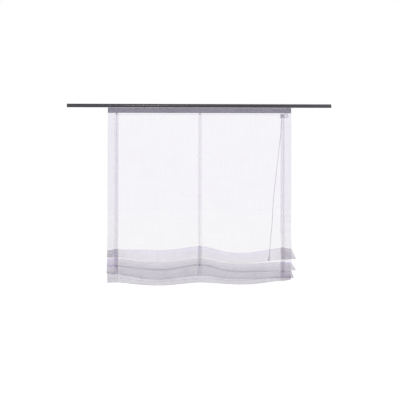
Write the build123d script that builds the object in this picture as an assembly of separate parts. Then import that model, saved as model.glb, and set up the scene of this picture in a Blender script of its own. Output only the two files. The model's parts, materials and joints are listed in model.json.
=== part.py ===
from build123d import *
import math
import os

# Sheer roman blind hanging flush below a round curtain rod with an inner glider track.
# Millimetres. X runs along the rod to the viewer's right, Y away from the viewer, Z up.
# The origin is at mid-length of the rod, at the mouth of the bracket groove on its top.

# Rod
ROD_RADIUS = 10.0
ROD_LENGTH = 1430.0
ROD_AXIS_Z = -ROD_RADIUS
SLOT_WIDTH = 3.6
LIP = 1.8
TRACK_WIDTH = 9.2
TRACK_HEIGHT = 4.0
GROOVE_WIDTH = 8.4
GROOVE_HEIGHT = 3.0
CHAMBER_WIDTH = 13.0
CHAMBER_HEIGHT = 4.4
CAP_FLANGE = 5.0
CAP_PLUG = 12.0

# Header
CLOTH_WIDTH = 1000.0
HEADER_TOP = -20.5
HEADER_BOTTOM = -49.5
TAPE_FRONT_Y = -3.5
TAPE_BACK_Y = -0.9
GLIDER_COUNT = 12
GLIDER_PITCH = 87.0
HOOK_THICKNESS = 1.2
PRONG_THICKNESS = 1.0
HOOK_WIDTH = 3.0
HOOK_BOTTOM = -50.5
PRONG_HEIGHT = 13.0

# Cloth: one piece of voile with turned side hems and a turned bottom hem
PANEL_Y = -3.9
PANEL_LEAN = 2.5
CLOTH_THICKNESS = 0.5
HEM_EXTRA = 0.4
SIDE_HEM = 59.0
HEM_TURN_UP = 24.0
HEM_POCKET = 4.4
WEIGHT_RADIUS = 1.0
WEIGHT_REACH = 491.0
PINCH_WIDTH = 3.0
LIFT_TAPE_TOP = -50.5
SEWING_GAP = 0.15

# Lift tapes, rings and cords
TAPE_X = 453.0
TAPE_WIDTH = 22.0
LIFT_TAPE_THICKNESS = 0.7
TAPE_FIRST = 1
TAPE_LAST = -5
RING_OUTER = 5.5
RING_INNER = 4.0
RING_THICKNESS = 1.5
RING_COLUMNS = (-453.0, 0.0, 457.0)
UPPER_RING_ROWS = (-305.0, -505.0, -705.0)
RING_GAP = 0.1
RING_DROP = 1.6
CORD_COLUMNS = (-453.0, 0.0, 457.8)
CORD_DEPTHS = (1.35, 2.65, 2.0)
CORD_RADIUS = 0.6
CORD_RUN_Z = -58.6
KNOT_RADIUS = 1.5
BEAD_RADIUS = 4.9
BEAD_HEIGHT = 9.0
BEAD_BORE = 0.7
BEAD_GAP = 0.15

# Cord eyes
EYE_BEND = 4.0
EYE_OUTER = 5.5
EYE_INNER = 4.2
EYE_THICKNESS = 1.6
EYE_SHIFT = 0.6
EYE_Z = -59.2
TAB_TOP = -36.0

# Cord lock
LOCK_LEFT = 439.0
LOCK_RIGHT = 486.0
LOCK_TOP = -52.6
LOCK_BOTTOM = -77.0
LOCK_FRONT_Y = -0.9
LOCK_BACK_Y = 6.2
LOCK_WALL = 1.3
LOCK_ROOM_RIGHT = 462.0
LOCK_STRAND_LEFT = 449.1
LOCK_STRAND_RIGHT = 450.2
JAW_X = (450.9, 456.9)
JAW_TOP = -68.5
PIN_RADIUS = 1.2
GUIDE_BAR = (445.5, -62.2, 3.0)
TURN_BAR = (454.0, -64.0, 3.2)
JAM_ROLLER = (445.3, -70.6, 3.2)
JAM_TRAVEL = 3.5
JAM_DIRECTION = (-0.45, -0.893)

# Pull cord
PULL_RADIUS = 1.3
STRAND_GAP = 0.08
PULL_START = (449.7, 2.0, -77.5)
PULL_ROUTE = (
    (448.9, 2.0, -92.0),
    (446.6, 3.2, -130.0),
    (440.8, 5.8, -184.0),
    (434.4, 8.0, -244.0),
    (428.4, 9.4, -304.0),
    (421.0, 10.6, -364.0),
    (415.6, 11.0, -424.0),
    (408.6, 11.8, -484.0),
    (403.4, 12.0, -544.0),
    (397.4, 12.6, -604.0),
    (391.8, 12.8, -664.0),
    (384.8, 13.4, -724.0),
    (379.8, 13.6, -784.0),
)
PULL_END = (376.2, 13.8, -826.0)

# Heights of the folded bottom across the width. Each station gives the ring row or pinch A, the
# bottom of fold 1, pinch B, the bottom of fold 2, pinch C, the bottom of fold 3 and the hem.
LEFT_EDGE = (-793.0, -829.0, -837.0, -876.0, -872.0, -916.0, -969.0)
LEFT_TAPE = (-787.0, -827.0, -835.0, -877.0, -872.0, -921.0, -967.0)
LEFT_SPAN = (-793.0, -852.0, -859.0, -901.0, -894.0, -951.0, -985.0)
CENTRE_TAPE = (-773.0, -830.0, -837.0, -876.0, -869.0, -932.0, -970.0)
RIGHT_SPAN = (-811.0, -861.0, -868.0, -914.0, -907.0, -952.0, -983.0)
RIGHT_TAPE = (-784.0, -844.0, -862.0, -909.0, -908.0, -947.0, -965.0)
RIGHT_EDGE = (-790.0, -841.0, -864.0, -904.0, -910.0, -948.0, -957.0)
FOLD_DEPTHS = (42.0, 29.0, 16.5)
SPAN_PUFF = 1.22
TAPE_ZONE = 12.0
RIGHT_FLARE = 36.0
LEFT_FLARE = -7.0
FOLD_WIDTHS = (13.0, 11.0, 8.6)


def box_between(x, y, z):
    """A block between two X, two Y and two Z values."""
    size = [abs(pair[1] - pair[0]) for pair in (x, y, z)]
    centre = [(pair[0] + pair[1]) / 2 for pair in (x, y, z)]
    return Pos(*centre) * Box(*size)


def faceted(radius, height, sides, inside=False):
    """A small round solid about Z with few faces; as a hole it clears the whole radius."""
    return extrude(RegularPolygon(radius, sides, major_radius=not inside), height / 2, both=True)


def pin_along_y(x, z, radius, y_start, y_end):
    """A pin that crosses from front to back."""
    middle = Pos(x, (y_start + y_end) / 2, z) * Rot(90, 0, 0)
    return middle * faceted(radius, y_end - y_start, 12)


def make_rod():
    """An extruded round tube: bracket groove on top, hollow chamber, glider track below."""
    def channel(width, height, z):
        return Pos(0, z) * Rectangle(width, height)

    section = Circle(ROD_RADIUS)
    groove_z = ROD_RADIUS - LIP - GROOVE_HEIGHT / 2
    track_z = -ROD_RADIUS + LIP + TRACK_HEIGHT / 2
    section -= channel(SLOT_WIDTH, 2 * LIP + 0.4, ROD_RADIUS)
    section -= channel(GROOVE_WIDTH, GROOVE_HEIGHT, groove_z)
    section -= channel(SLOT_WIDTH, 2 * LIP + 0.4, -ROD_RADIUS)
    section -= channel(TRACK_WIDTH, TRACK_HEIGHT, track_z)
    section -= Pos(0, 0.9) * RectangleRounded(CHAMBER_WIDTH, CHAMBER_HEIGHT, 1.2)
    profile_plane = Plane(origin=(-ROD_LENGTH / 2, 0, ROD_AXIS_Z), x_dir=(0, 1, 0), z_dir=(1, 0, 0))
    return extrude(profile_plane * section, ROD_LENGTH)


def make_cap(side):
    """A turned end cap: flange flush with the rod, and a plug inside the hollow chamber."""
    end = side * ROD_LENGTH / 2
    outward = Plane(origin=(end, 0, ROD_AXIS_Z), x_dir=(0, 1, 0), z_dir=(side, 0, 0))
    flange = extrude(outward * RegularPolygon(ROD_RADIUS, 28), CAP_FLANGE)
    face = flange.faces().sort_by(Axis.X)[-1 if side > 0 else 0]
    flange = chamfer(face.edges(), 0.8)
    inward = Plane(origin=(end, 0, ROD_AXIS_Z + 0.9), x_dir=(0, 1, 0), z_dir=(-side, 0, 0))
    plug = extrude(inward * Rectangle(CHAMBER_WIDTH - 2.6, CHAMBER_HEIGHT - 0.3), CAP_PLUG)
    return flange + plug


def make_track_stop(side):
    """A block clamped in the glider track just outside the last glider."""
    x = side * (CLOTH_WIDTH / 2 + 4)
    low = ROD_AXIS_Z - ROD_RADIUS + LIP + 0.1
    body = box_between((x - 5, x + 5), (-4.2, 4.2), (low, low + TRACK_HEIGHT - 0.2))
    neck = box_between((x - 3, x + 3), (-1.5, 1.5), (low - LIP - 0.5, low))
    return body + neck


def make_glider(x):
    """One moulded glider: head in the track, neck, shank and the hook that enters the tape."""
    half = HOOK_WIDTH / 2
    shank_y = HOOK_THICKNESS / 2
    prong_front = -2.6
    prong_back = prong_front + PRONG_THICKNESS
    head_low = ROD_AXIS_Z - ROD_RADIUS + LIP + 0.1
    head = box_between((x - 4.5, x + 4.5), (-4.1, 4.1), (head_low, head_low + 2.6))
    head = chamfer(head.edges().filter_by(Axis.Z), 1.5)
    shank = box_between((x - half, x + half), (-shank_y, shank_y), (HOOK_BOTTOM, head_low))
    prong = box_between(
        (x - half, x + half), (prong_front, prong_back), (HOOK_BOTTOM, HOOK_BOTTOM + PRONG_HEIGHT)
    )
    bend_y = (prong_front + shank_y) / 2
    across = Plane(origin=(x - half, bend_y, HOOK_BOTTOM), x_dir=(0, 1, 0), z_dir=(1, 0, 0))
    outer = (shank_y - prong_front) / 2
    bend = across * (RegularPolygon(outer, 8) - RegularPolygon(outer - PRONG_THICKNESS, 8))
    bend -= across * (Pos(0, outer) * Rectangle(4 * outer, 2 * outer))
    return head + shank + prong + extrude(bend, HOOK_WIDTH)


def glider_places():
    """The gliders are spread evenly about the middle of the cloth."""
    first = -GLIDER_PITCH * (GLIDER_COUNT - 1) / 2
    return [first + GLIDER_PITCH * i for i in range(GLIDER_COUNT)]


def make_header_tape():
    """The woven header tape, with a pocket open at its lower edge for each glider hook."""
    half = CLOTH_WIDTH / 2 - 1
    tape = box_between((-half, half), (TAPE_FRONT_Y, TAPE_BACK_Y), (HEADER_BOTTOM, HEADER_TOP - 0.5))
    for x in glider_places():
        tape -= box_between(
            (x - 1.8, x + 1.8), (-2.75, -1.45), (HEADER_BOTTOM - 1, HOOK_BOTTOM + PRONG_HEIGHT + 1)
        )
    hem_line = CLOTH_WIDTH / 2 - SIDE_HEM - 1
    for side in (-1, 1):
        tape -= box_between(
            (side * hem_line, side * (half + 1)), (TAPE_FRONT_Y - 1, TAPE_FRONT_Y + 0.3),
            (HEADER_BOTTOM - 1, HEADER_TOP)
        )
    return tape


def blended(here, there, share):
    """Heights between two stations."""
    return [a + (b - a) * share for a, b in zip(here, there)]


def station(x):
    """Fold heights and fullness at a place along the width: pulled up at a tape, sagging between."""
    edge = TAPE_X + TAPE_ZONE
    inner = TAPE_X - TAPE_ZONE
    if abs(x) >= inner:
        tape, rim = (LEFT_TAPE, LEFT_EDGE) if x < 0 else (RIGHT_TAPE, RIGHT_EDGE)
        share = max(0.0, (abs(x) - edge) / (CLOTH_WIDTH / 2 - edge))
        return blended(tape, rim, share), 1.0
    if abs(x) <= TAPE_ZONE:
        return list(CENTRE_TAPE), 1.0
    outer_tape, span = (LEFT_TAPE, LEFT_SPAN) if x < 0 else (RIGHT_TAPE, RIGHT_SPAN)
    across = (abs(x) - TAPE_ZONE) / (inner - TAPE_ZONE)
    sag = math.sin(math.pi * across) ** 1.4
    held = blended(CENTRE_TAPE, outer_tape, across * across * (3 - 2 * across))
    return blended(held, span, sag), 1 + (SPAN_PUFF - 1) * sag


def lean_at(height):
    """The panel leans a little forward from the header to the first pinch."""
    return PANEL_LEAN * min(1.0, max(0.0, (LIFT_TAPE_TOP - height) / 720.0))


def pinch(top):
    """The narrow turn where the cloth is held up by a ring row."""
    outer = PINCH_WIDTH
    return [(outer, top - 1, 0), (outer - 0.9, top, 0), (0.9, top, 0), (0, top - 1, 0), (0, top - 2.2, 0)]


def fold_corners(x):
    """The path of the cloth at x as (forward, height, radius) corners, header to turned hem."""
    (a, f1, b, f2, c, f3, hem), puff = station(x)
    d1, d2, d3 = [depth * puff for depth in FOLD_DEPTHS]
    w1, w2, w3 = FOLD_WIDTHS
    path = [(0, HEADER_TOP, 0), (0, LIFT_TAPE_TOP, 0), (0, a + 80, 80), (d1, a - 2, 30)]
    path += [(d1, f1, 6.2), (d1 - w1, f1, 5.5)] + pinch(a)
    path += [(d2, f2 + 26, 24), (d2, f2, 5.2), (d2 - w2, f2, 4.8)] + pinch(b)
    path += [(d3, f3 + 20, 0), (d3, f3, 4.1), (d3 - w3, f3, 4.1)] + pinch(c)
    path += [
        (HEM_POCKET, hem + 16, 0),
        (HEM_POCKET, hem + 1.2, 0),
        (HEM_POCKET - 1.2, hem, 0),
        (1.2, hem, 0),
        (0, hem + 1.2, 0),
        (0, hem + HEM_TURN_UP, 0),
    ]
    return [(forward + lean_at(height), height, radius) for forward, height, radius in path]


def place(x, forward, height):
    """A point of the cloth in space; past the side tapes the folds flare outwards."""
    turn = 0.0
    if abs(x) > TAPE_X + TAPE_ZONE:
        turn = math.radians(RIGHT_FLARE if x > 0 else LEFT_FLARE)
    return Vector(x + math.sin(turn) * forward, PANEL_Y - math.cos(turn) * forward, height)


def heading(start, end):
    """The unit direction from one corner to the next."""
    length = math.dist(start[:2], end[:2])
    return (end[0] - start[0]) / length, (end[1] - start[1]) / length


def moved(point, direction, distance):
    """A point moved along a direction."""
    return point[0] + direction[0] * distance, point[1] + direction[1] * distance


def turn_at(before, corner, after, offset):
    """The start, middle and end of a rounded corner, on a line offset towards the back."""
    inward, outward = heading(before, corner), heading(corner, after)
    cross = inward[0] * outward[1] - inward[1] * outward[0]
    half = math.atan2(abs(cross), inward[0] * outward[0] + inward[1] * outward[1]) / 2
    back_before, back_after = (inward[1], -inward[0]), (outward[1], -outward[0])
    total = (back_before[0] + back_after[0], back_before[1] + back_after[1])
    size = math.hypot(*total)
    back_middle = (total[0] / size, total[1] / size)
    if corner[2] == 0:
        return [moved(corner[:2], back_middle, offset / math.cos(half))]
    reach = corner[2] * math.tan(half)
    depth = corner[2] / math.cos(half) - corner[2]
    inside = math.copysign(1.0, -cross)
    start = moved(moved(corner, inward, -reach), back_before, offset)
    middle = moved(corner, back_middle, inside * depth + offset)
    end = moved(moved(corner, outward, reach), back_after, offset)
    return [start, middle, end]


def cloth_edges(x, corners, offset):
    """Lines and arcs through the corners, offset from the middle of the cloth."""
    first, last = heading(corners[0], corners[1]), heading(corners[-2], corners[-1])
    here = moved(corners[0], (first[1], -first[0]), offset)
    edges = []
    for before, corner, after in zip(corners, corners[1:], corners[2:]):
        turn = turn_at(before, corner, after, offset)
        edges.append(Edge.make_line(place(x, *here), place(x, *turn[0])))
        if len(turn) == 3:
            edges.append(Edge.make_three_point_arc(*[place(x, *point) for point in turn]))
        here = turn[-1]
    end = moved(corners[-1], (last[1], -last[0]), offset)
    return edges + [Edge.make_line(place(x, *here), place(x, *end))]


def band_section(x, near, far, first=0, last=None):
    """The closed outline between two offsets; a positive offset is towards the cloth's back."""
    corners = fold_corners(x)[first:last]
    front = cloth_edges(x, corners, near)
    back = cloth_edges(x, corners, far)
    bottom = Edge.make_line(front[-1] @ 1, back[-1] @ 1)
    top = Edge.make_line(back[0] @ 0, front[0] @ 0)
    return Wire(front + [bottom] + back + [top])


def back_of_cloth(x):
    """The offset of the cloth's back face: the turned side hems are thicker."""
    turned = abs(x) >= CLOTH_WIDTH / 2 - SIDE_HEM
    return CLOTH_THICKNESS / 2 + (HEM_EXTRA if turned else 0.0)


def cloth_stations():
    """Places of the sections across the width, closer where the hems and the tapes begin."""
    edge = CLOTH_WIDTH / 2
    hem_line = edge - SIDE_HEM
    inner = TAPE_X - TAPE_ZONE
    span = [TAPE_ZONE + (inner - TAPE_ZONE) * share for share in (0.0, 0.24, 0.5, 0.76)]
    right = span + [hem_line - 0.4, hem_line, TAPE_X + TAPE_ZONE, edge]
    return [-x for x in reversed(right)] + right


def make_cloth():
    """The whole cloth as one lofted sheet, from the header through three folds to the hem."""
    front = -CLOTH_THICKNESS / 2
    sections = [band_section(x, front, back_of_cloth(x)) for x in cloth_stations()]
    return Solid.make_loft(sections, ruled=True)


def make_lift_tape(x):
    """A woven tape sewn to the back of the cloth, from the header to just above the hem."""
    near = back_of_cloth(x) + SEWING_GAP
    outline = band_section(x, near, near + LIFT_TAPE_THICKNESS, TAPE_FIRST, TAPE_LAST)
    section = Face(outline)
    if section.normal_at().X < 0:
        section = -section
    return Solid.extrude(Pos(-TAPE_WIDTH / 2, 0, 0) * section, Vector(TAPE_WIDTH, 0, 0))


def tape_back(x):
    """How far the back of a lift tape stands behind the middle of the cloth."""
    return back_of_cloth(x) + SEWING_GAP + LIFT_TAPE_THICKNESS


def make_ring_row(heights):
    """Three small rings sewn flat to the lift tapes, one on each tape."""
    rings = []
    for x, z in zip(RING_COLUMNS, heights):
        front_y = PANEL_Y - lean_at(z) + tape_back(x) + RING_GAP
        washer = faceted(RING_OUTER, RING_THICKNESS, 12)
        washer -= faceted(RING_INNER, RING_THICKNESS, 12, inside=True)
        rings.append(Pos(x, front_y + RING_OUTER, z) * washer)
    return Compound(rings)


def pinch_heights(level):
    """The ring heights of one row in the stack, left to right; levels 0, 2 and 4 are the pinches."""
    return [tape[level] - RING_DROP for tape in (LEFT_TAPE, CENTRE_TAPE, RIGHT_TAPE)]


def lift_cord_lines():
    """X, Y and bottom Z of the three lift cords, left to right."""
    bottoms = [z - RING_THICKNESS / 2 - BEAD_GAP - BEAD_HEIGHT for z in pinch_heights(4)]
    return list(zip(CORD_COLUMNS, CORD_DEPTHS, bottoms))


def round_cord(points, radii, radius, sides):
    """A cord of few faces along straight runs joined by round bends; the thick one keeps its area."""
    path = FilletPolyline(*points, radius=radii)
    start = Plane(origin=path @ 0, z_dir=path % 0)
    round_radius = math.sqrt(2 * math.pi / (sides * math.sin(2 * math.pi / sides)))
    section = RegularPolygon(radius * (round_radius if sides > 6 else 1.0), sides)
    cord = sweep(start * section, path=path)
    print("cord", round(path.length, 1), round(cord.volume / (math.pi * radius**2), 1), radii)
    return cord


def make_lift_cord(column):
    """A lift cord from its knot under the last ring, over its bar, down into the lock."""
    x, y, bottom = lift_cord_lines()[column]
    if column == 2:
        over, down, bend = TURN_BAR[1] + TURN_BAR[2] + CORD_RADIUS, LOCK_STRAND_RIGHT, TURN_BAR[2]
        corners = [(x, y, over), (down, y, over)]
        radii = [(x - down) / 2 - 0.01] * 2
    else:
        corners = [(x, y, CORD_RUN_Z), (LOCK_STRAND_LEFT, y, CORD_RUN_Z)]
        radii = [EYE_BEND, GUIDE_BAR[2] + CORD_RADIUS]
    points = [(x, y, bottom)] + corners + [(corners[-1][0], y, PULL_START[2] + STRAND_GAP)]
    knot = faceted(KNOT_RADIUS, 1.6 * KNOT_RADIUS, 8)
    knot = chamfer(knot.edges().filter_by(Axis.Z, reverse=True), 0.5)
    return round_cord(points, radii, CORD_RADIUS, 6) + Pos(x, y, bottom - 0.4) * knot


def make_bead(column):
    """The cord bead under the lowest ring, resting on the knot."""
    x, y, bottom = lift_cord_lines()[column]
    barrel = faceted(BEAD_RADIUS, BEAD_HEIGHT, 12)
    barrel = chamfer(barrel.edges().filter_by(Axis.Z, reverse=True), 1.2)
    barrel -= faceted(BEAD_BORE, BEAD_HEIGHT, 8, inside=True)
    barrel -= Pos(0, 0, -BEAD_HEIGHT / 2) * faceted(KNOT_RADIUS + 0.1, 3.2, 8, inside=True)
    return Pos(x, y, bottom + BEAD_HEIGHT / 2) * barrel


def make_cord_eye(x):
    """A moulded eye sewn behind the header tape, where a lift cord turns towards the lock."""
    tilted = Plane(origin=(x + EYE_SHIFT, LOCK_FRONT_Y + EYE_OUTER, EYE_Z), z_dir=(1, 0, 1))
    ring = faceted(EYE_OUTER, EYE_THICKNESS, 12) - faceted(EYE_INNER, EYE_THICKNESS, 12, inside=True)
    tab = box_between((x - 4.5, x + 4.5), (TAPE_BACK_Y, TAPE_BACK_Y + 1.2), (EYE_Z - 1, TAB_TOP))
    return tab + tilted * ring


def slot_along(path_start, direction, travel, width):
    """A slot with cut corners through the lock from front to back, along the roller's travel."""
    x, z = path_start
    turn = math.degrees(math.atan2(direction[1], direction[0]))
    middle = (x + direction[0] * travel / 2, z + direction[1] * travel / 2)
    plane = Plane(origin=(middle[0], LOCK_FRONT_Y - 1, middle[1]), x_dir=(1, 0, 0), z_dir=(0, 1, 0))
    depth = LOCK_BACK_Y - LOCK_FRONT_Y + 2
    slot = chamfer(Rectangle(travel + width, width).vertices(), 0.29 * width)
    return extrude(plane * Rot(0, 0, -turn) * slot, depth)


def make_lock_housing():
    """The moulded cord lock: a box open at its left and bottom, with a jaw and a sewing tab."""
    inner_front = LOCK_FRONT_Y + LOCK_WALL
    inner_back = LOCK_BACK_Y - LOCK_WALL
    body = box_between((LOCK_LEFT, LOCK_RIGHT), (LOCK_FRONT_Y, LOCK_BACK_Y), (LOCK_BOTTOM, LOCK_TOP))
    body = chamfer(body.edges().filter_by(Axis.Y).sort_by(Axis.X)[-2:], 2.0)
    cavity = box_between(
        (LOCK_LEFT - 1, LOCK_ROOM_RIGHT), (inner_front, inner_back), (LOCK_BOTTOM - 1, LOCK_TOP - 1.4)
    )
    jaw = box_between(JAW_X, (inner_front, inner_back), (LOCK_BOTTOM, JAW_TOP))
    tab = box_between((462, 474), (TAPE_BACK_Y, TAPE_BACK_Y + 1.2), (LOCK_TOP - 1, TAB_TOP))
    housing = body - cavity + jaw + tab
    for x, z, _ in (GUIDE_BAR, TURN_BAR):
        housing -= pin_along_y(x, z, PIN_RADIUS, LOCK_FRONT_Y, LOCK_BACK_Y)
    slot_width = 2 * (PIN_RADIUS + 0.1)
    return housing - slot_along(JAM_ROLLER[:2], JAM_DIRECTION, JAM_TRAVEL, slot_width)


def make_lock_pin(x, z, radius, ridges=0):
    """A bar or roller between the two walls of the lock, on a thin pin that crosses both."""
    inner_front = LOCK_FRONT_Y + LOCK_WALL + 0.1
    inner_back = LOCK_BACK_Y - LOCK_WALL - 0.1
    bar = pin_along_y(x, z, radius, inner_front, inner_back)
    if ridges:
        angles = [math.pi * i / ridges for i in range(2 * ridges)]
        reach = [radius - 0.3 * (i % 2) for i in range(2 * ridges)]
        points = [(r * math.cos(a), r * math.sin(a)) for r, a in zip(reach, angles)]
        front = Plane(origin=(x, inner_front, z), x_dir=(1, 0, 0), z_dir=(0, 1, 0))
        bar = extrude(front * make_face(Polyline(*points, close=True)), inner_back - inner_front)
    return bar + pin_along_y(x, z, PIN_RADIUS, LOCK_FRONT_Y, LOCK_BACK_Y)


def bend_radii(points):
    """The largest bend at each corner that its two runs leave room for."""
    radii = []
    for before, corner, after in zip(points, points[1:], points[2:]):
        inward = Vector(*corner) - Vector(*before)
        outward = Vector(*after) - Vector(*corner)
        half = math.radians(inward.get_angle(outward)) / 2
        radii.append(round(0.45 * min(inward.length, outward.length) / math.tan(half), 1))
    return radii


def make_pull_cord():
    """The three strands lying together below the lock, down to the cord pull."""
    points = [PULL_START, *PULL_ROUTE, PULL_END]
    return round_cord(points, bend_radii(points), PULL_RADIUS, 8)


def make_cord_pull():
    """A tapered pull that closes the end of the cord, in line with it."""
    direction = (Vector(*PULL_END) - Vector(*PULL_ROUTE[-1])).normalized()
    profile = ((2.2, 0), (2.2, 4), (4.0, 9), (6.4, 27), (6.4, 31), (4.6, 34))
    sections = [Pos(0, 0, along) * RegularPolygon(radius, 14) for radius, along in profile]
    return Plane(origin=PULL_END, z_dir=direction) * loft(sections, ruled=True)


def make_hem_weight():
    """A flexible weight cord that lies in the turned hem from side to side."""
    sections = []
    for cloth_x in cloth_stations():
        x = max(-WEIGHT_REACH, min(WEIGHT_REACH, cloth_x))
        low = station(x)[0][-1] + CLOTH_THICKNESS / 2 + HEM_EXTRA + WEIGHT_RADIUS + 0.3
        centre = place(x, HEM_POCKET / 2 + PANEL_LEAN, low)
        across = Plane(origin=centre, x_dir=(0, 1, 0), z_dir=(1, 0, 0))
        sections.append(across * RegularPolygon(WEIGHT_RADIUS, 8))
    return loft([section.face() for section in sections], ruled=True)


def save(name, shape):
    """Write one sub-part."""
    export_step(shape, f"parts/{name}.step")


SIDES = ("left", "centre", "right")

os.makedirs("parts", exist_ok=True)
save("rod", make_rod())
for side, name in ((-1, "left"), (1, "right")):
    save(f"end_cap_{name}", make_cap(side))
    save(f"track_stop_{name}", make_track_stop(side))
for i, x in enumerate(glider_places()):
    save(f"glider_{i + 1:02d}", make_glider(x))
save("header_tape", make_header_tape())
save("cloth", make_cloth())
save("hem_weight", make_hem_weight())
for column, (name, x) in enumerate(zip(SIDES, (-TAPE_X, 0.0, TAPE_X))):
    save(f"lift_tape_{name}", make_lift_tape(x))
    save(f"lift_cord_{name}", make_lift_cord(column))
    save(f"cord_bead_{name}", make_bead(column))
for row, z in enumerate(UPPER_RING_ROWS):
    save(f"ring_row_{row + 1}", make_ring_row([z] * 3))
for row, level in enumerate((0, 2, 4)):
    save(f"ring_row_{row + 4}", make_ring_row(pinch_heights(level)))
save("cord_eye_left", make_cord_eye(-TAPE_X))
save("cord_eye_centre", make_cord_eye(0.0))
save("cord_lock_housing", make_lock_housing())
save("lock_guide_bar", make_lock_pin(*GUIDE_BAR))
save("lock_turn_bar", make_lock_pin(*TURN_BAR))
save("lock_roller", make_lock_pin(*JAM_ROLLER, ridges=14))
save("pull_cord", make_pull_cord())
save("cord_pull", make_cord_pull())
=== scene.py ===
"""Looks for the sheer roman blind: voile, tapes, cords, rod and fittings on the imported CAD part.

Metres, in the part's own frame: X along the rod to the viewer's right, Y away from the viewer
and Z up. The origin is at mid-length of the rod, at the mouth of the bracket groove on its top.
"""

import json
import math

import bmesh
import bpy
from mathutils import Matrix, Vector, noise

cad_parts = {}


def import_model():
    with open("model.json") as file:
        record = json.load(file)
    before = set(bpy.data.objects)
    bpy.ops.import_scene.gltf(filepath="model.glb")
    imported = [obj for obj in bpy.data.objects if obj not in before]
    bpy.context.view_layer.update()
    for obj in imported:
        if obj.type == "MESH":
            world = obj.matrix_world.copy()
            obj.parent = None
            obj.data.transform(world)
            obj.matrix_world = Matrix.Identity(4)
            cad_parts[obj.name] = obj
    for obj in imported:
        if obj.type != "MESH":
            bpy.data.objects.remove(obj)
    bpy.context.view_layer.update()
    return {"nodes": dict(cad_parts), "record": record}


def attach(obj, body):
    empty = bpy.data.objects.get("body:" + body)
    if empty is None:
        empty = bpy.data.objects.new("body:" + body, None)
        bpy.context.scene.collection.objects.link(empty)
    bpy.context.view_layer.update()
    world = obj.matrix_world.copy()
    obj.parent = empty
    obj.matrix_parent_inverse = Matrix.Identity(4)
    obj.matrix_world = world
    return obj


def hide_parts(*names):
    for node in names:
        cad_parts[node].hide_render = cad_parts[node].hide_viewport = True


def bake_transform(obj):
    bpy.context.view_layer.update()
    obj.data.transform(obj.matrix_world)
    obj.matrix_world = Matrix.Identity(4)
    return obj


MM = 0.001

# Camera, from the photograph's view
IMAGE_PIXELS = 400
FOCAL_PIXELS = 900
CAMERA_DISTANCE = 4.9
CAMERA_AZIMUTH = -3.0
CAMERA_ROLL = 0.15
CAMERA_HEIGHT = -0.022
HORIZON_PIXEL = 108
MIDDLE_PIXEL = 200.0
SENSOR_WIDTH = 36.0

# Cloth, as in the part's source
CLOTH_WIDTH = 1.0
HEADER_TOP = -0.0205
HEADER_BOTTOM = -0.0495
LIFT_TAPE_TOP = -0.0505
PANEL_Y = -0.0039
PANEL_LEAN = 0.0025
LEAN_LENGTH = 0.720
SIDE_HEM = 0.059
HEM_TURN_UP = 0.024
HEM_POCKET = 0.0044
PINCH_WIDTH = 0.003
TAPE_X = 0.453
TAPE_WIDTH = 0.022
TAPE_ZONE = 0.012
FOLD_DEPTHS = (0.042, 0.029, 0.0165)
FOLD_WIDTHS = (0.013, 0.011, 0.0086)
SPAN_PUFF = 1.22
RIGHT_EARS = (0.023, 0.026, 0.014)
LEFT_EARS = (0.0, 0.003, 0.005)
FLARE_DEPTH = 0.19
CLOTH_THICKNESS = 0.0004
HEM_STEP = 0.0006
TAPE_STEP = 0.0010
LIFT_TAPE_THICKNESS = 0.0005

# Heights of the folded bottom in millimetres, in the order of TURNS: the pinch at a ring row and
# the low edge of the fold below it, three times, and then the hem
TURNS = ("a", "f1", "b", "f2", "c", "f3", "hem")
LEFT_EDGE = (-793, -829, -837, -876, -872, -916, -969)
LEFT_TAPE = (-787, -827, -835, -877, -872, -921, -967)
LEFT_SPAN = (-793, -852, -859, -901, -894, -951, -985)
CENTRE_TAPE = (-773, -830, -837, -876, -869, -932, -970)
RIGHT_SPAN = (-811, -861, -868, -914, -907, -952, -983)
RIGHT_TAPE = (-784, -844, -862, -909, -908, -947, -965)
RIGHT_EDGE = (-790, -841, -864, -904, -910, -948, -957)

# Cords, as in the part's source
CORD_COLUMNS = (-0.453, 0.0, 0.4578)
CORD_DEPTHS = (0.00135, 0.00265, 0.0020)
CORD_RADIUS = 0.0006
CORD_RUN_Z = -0.0586
STRAND_LEFT = 0.4491
STRAND_RIGHT = 0.4502
STRAND_END = -0.0774
RING_DROP = 0.0016
RING_HALF = 0.00075
BEAD_GAP = 0.00015
BEAD_HEIGHT = 0.009
PULL_RADIUS = 0.0013
PULL_POINTS = (
    (0.4497, 0.0020, -0.0775),
    (0.4489, 0.0020, -0.0920),
    (0.4466, 0.0032, -0.1300),
    (0.4408, 0.0058, -0.1840),
    (0.4344, 0.0080, -0.2440),
    (0.4284, 0.0094, -0.3040),
    (0.4210, 0.0106, -0.3640),
    (0.4156, 0.0110, -0.4240),
    (0.4086, 0.0118, -0.4840),
    (0.4034, 0.0120, -0.5440),
    (0.4008, 0.0126, -0.6040),
    (0.3972, 0.0128, -0.6640),
    (0.3922, 0.0134, -0.7240),
    (0.3868, 0.0136, -0.7840),
    (0.3832, 0.0138, -0.8260),
)

# Spacing of the cloth's mesh, and the fullest place of the cloth, which sets the counts
ARC_STEPS = 7
PANEL_SPACING = 0.010
FOLD_SPACING = 0.005
COLUMN_SPACING = 0.0083
HEM_SPACING = 0.006
FULLEST_X = -0.2265

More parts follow.
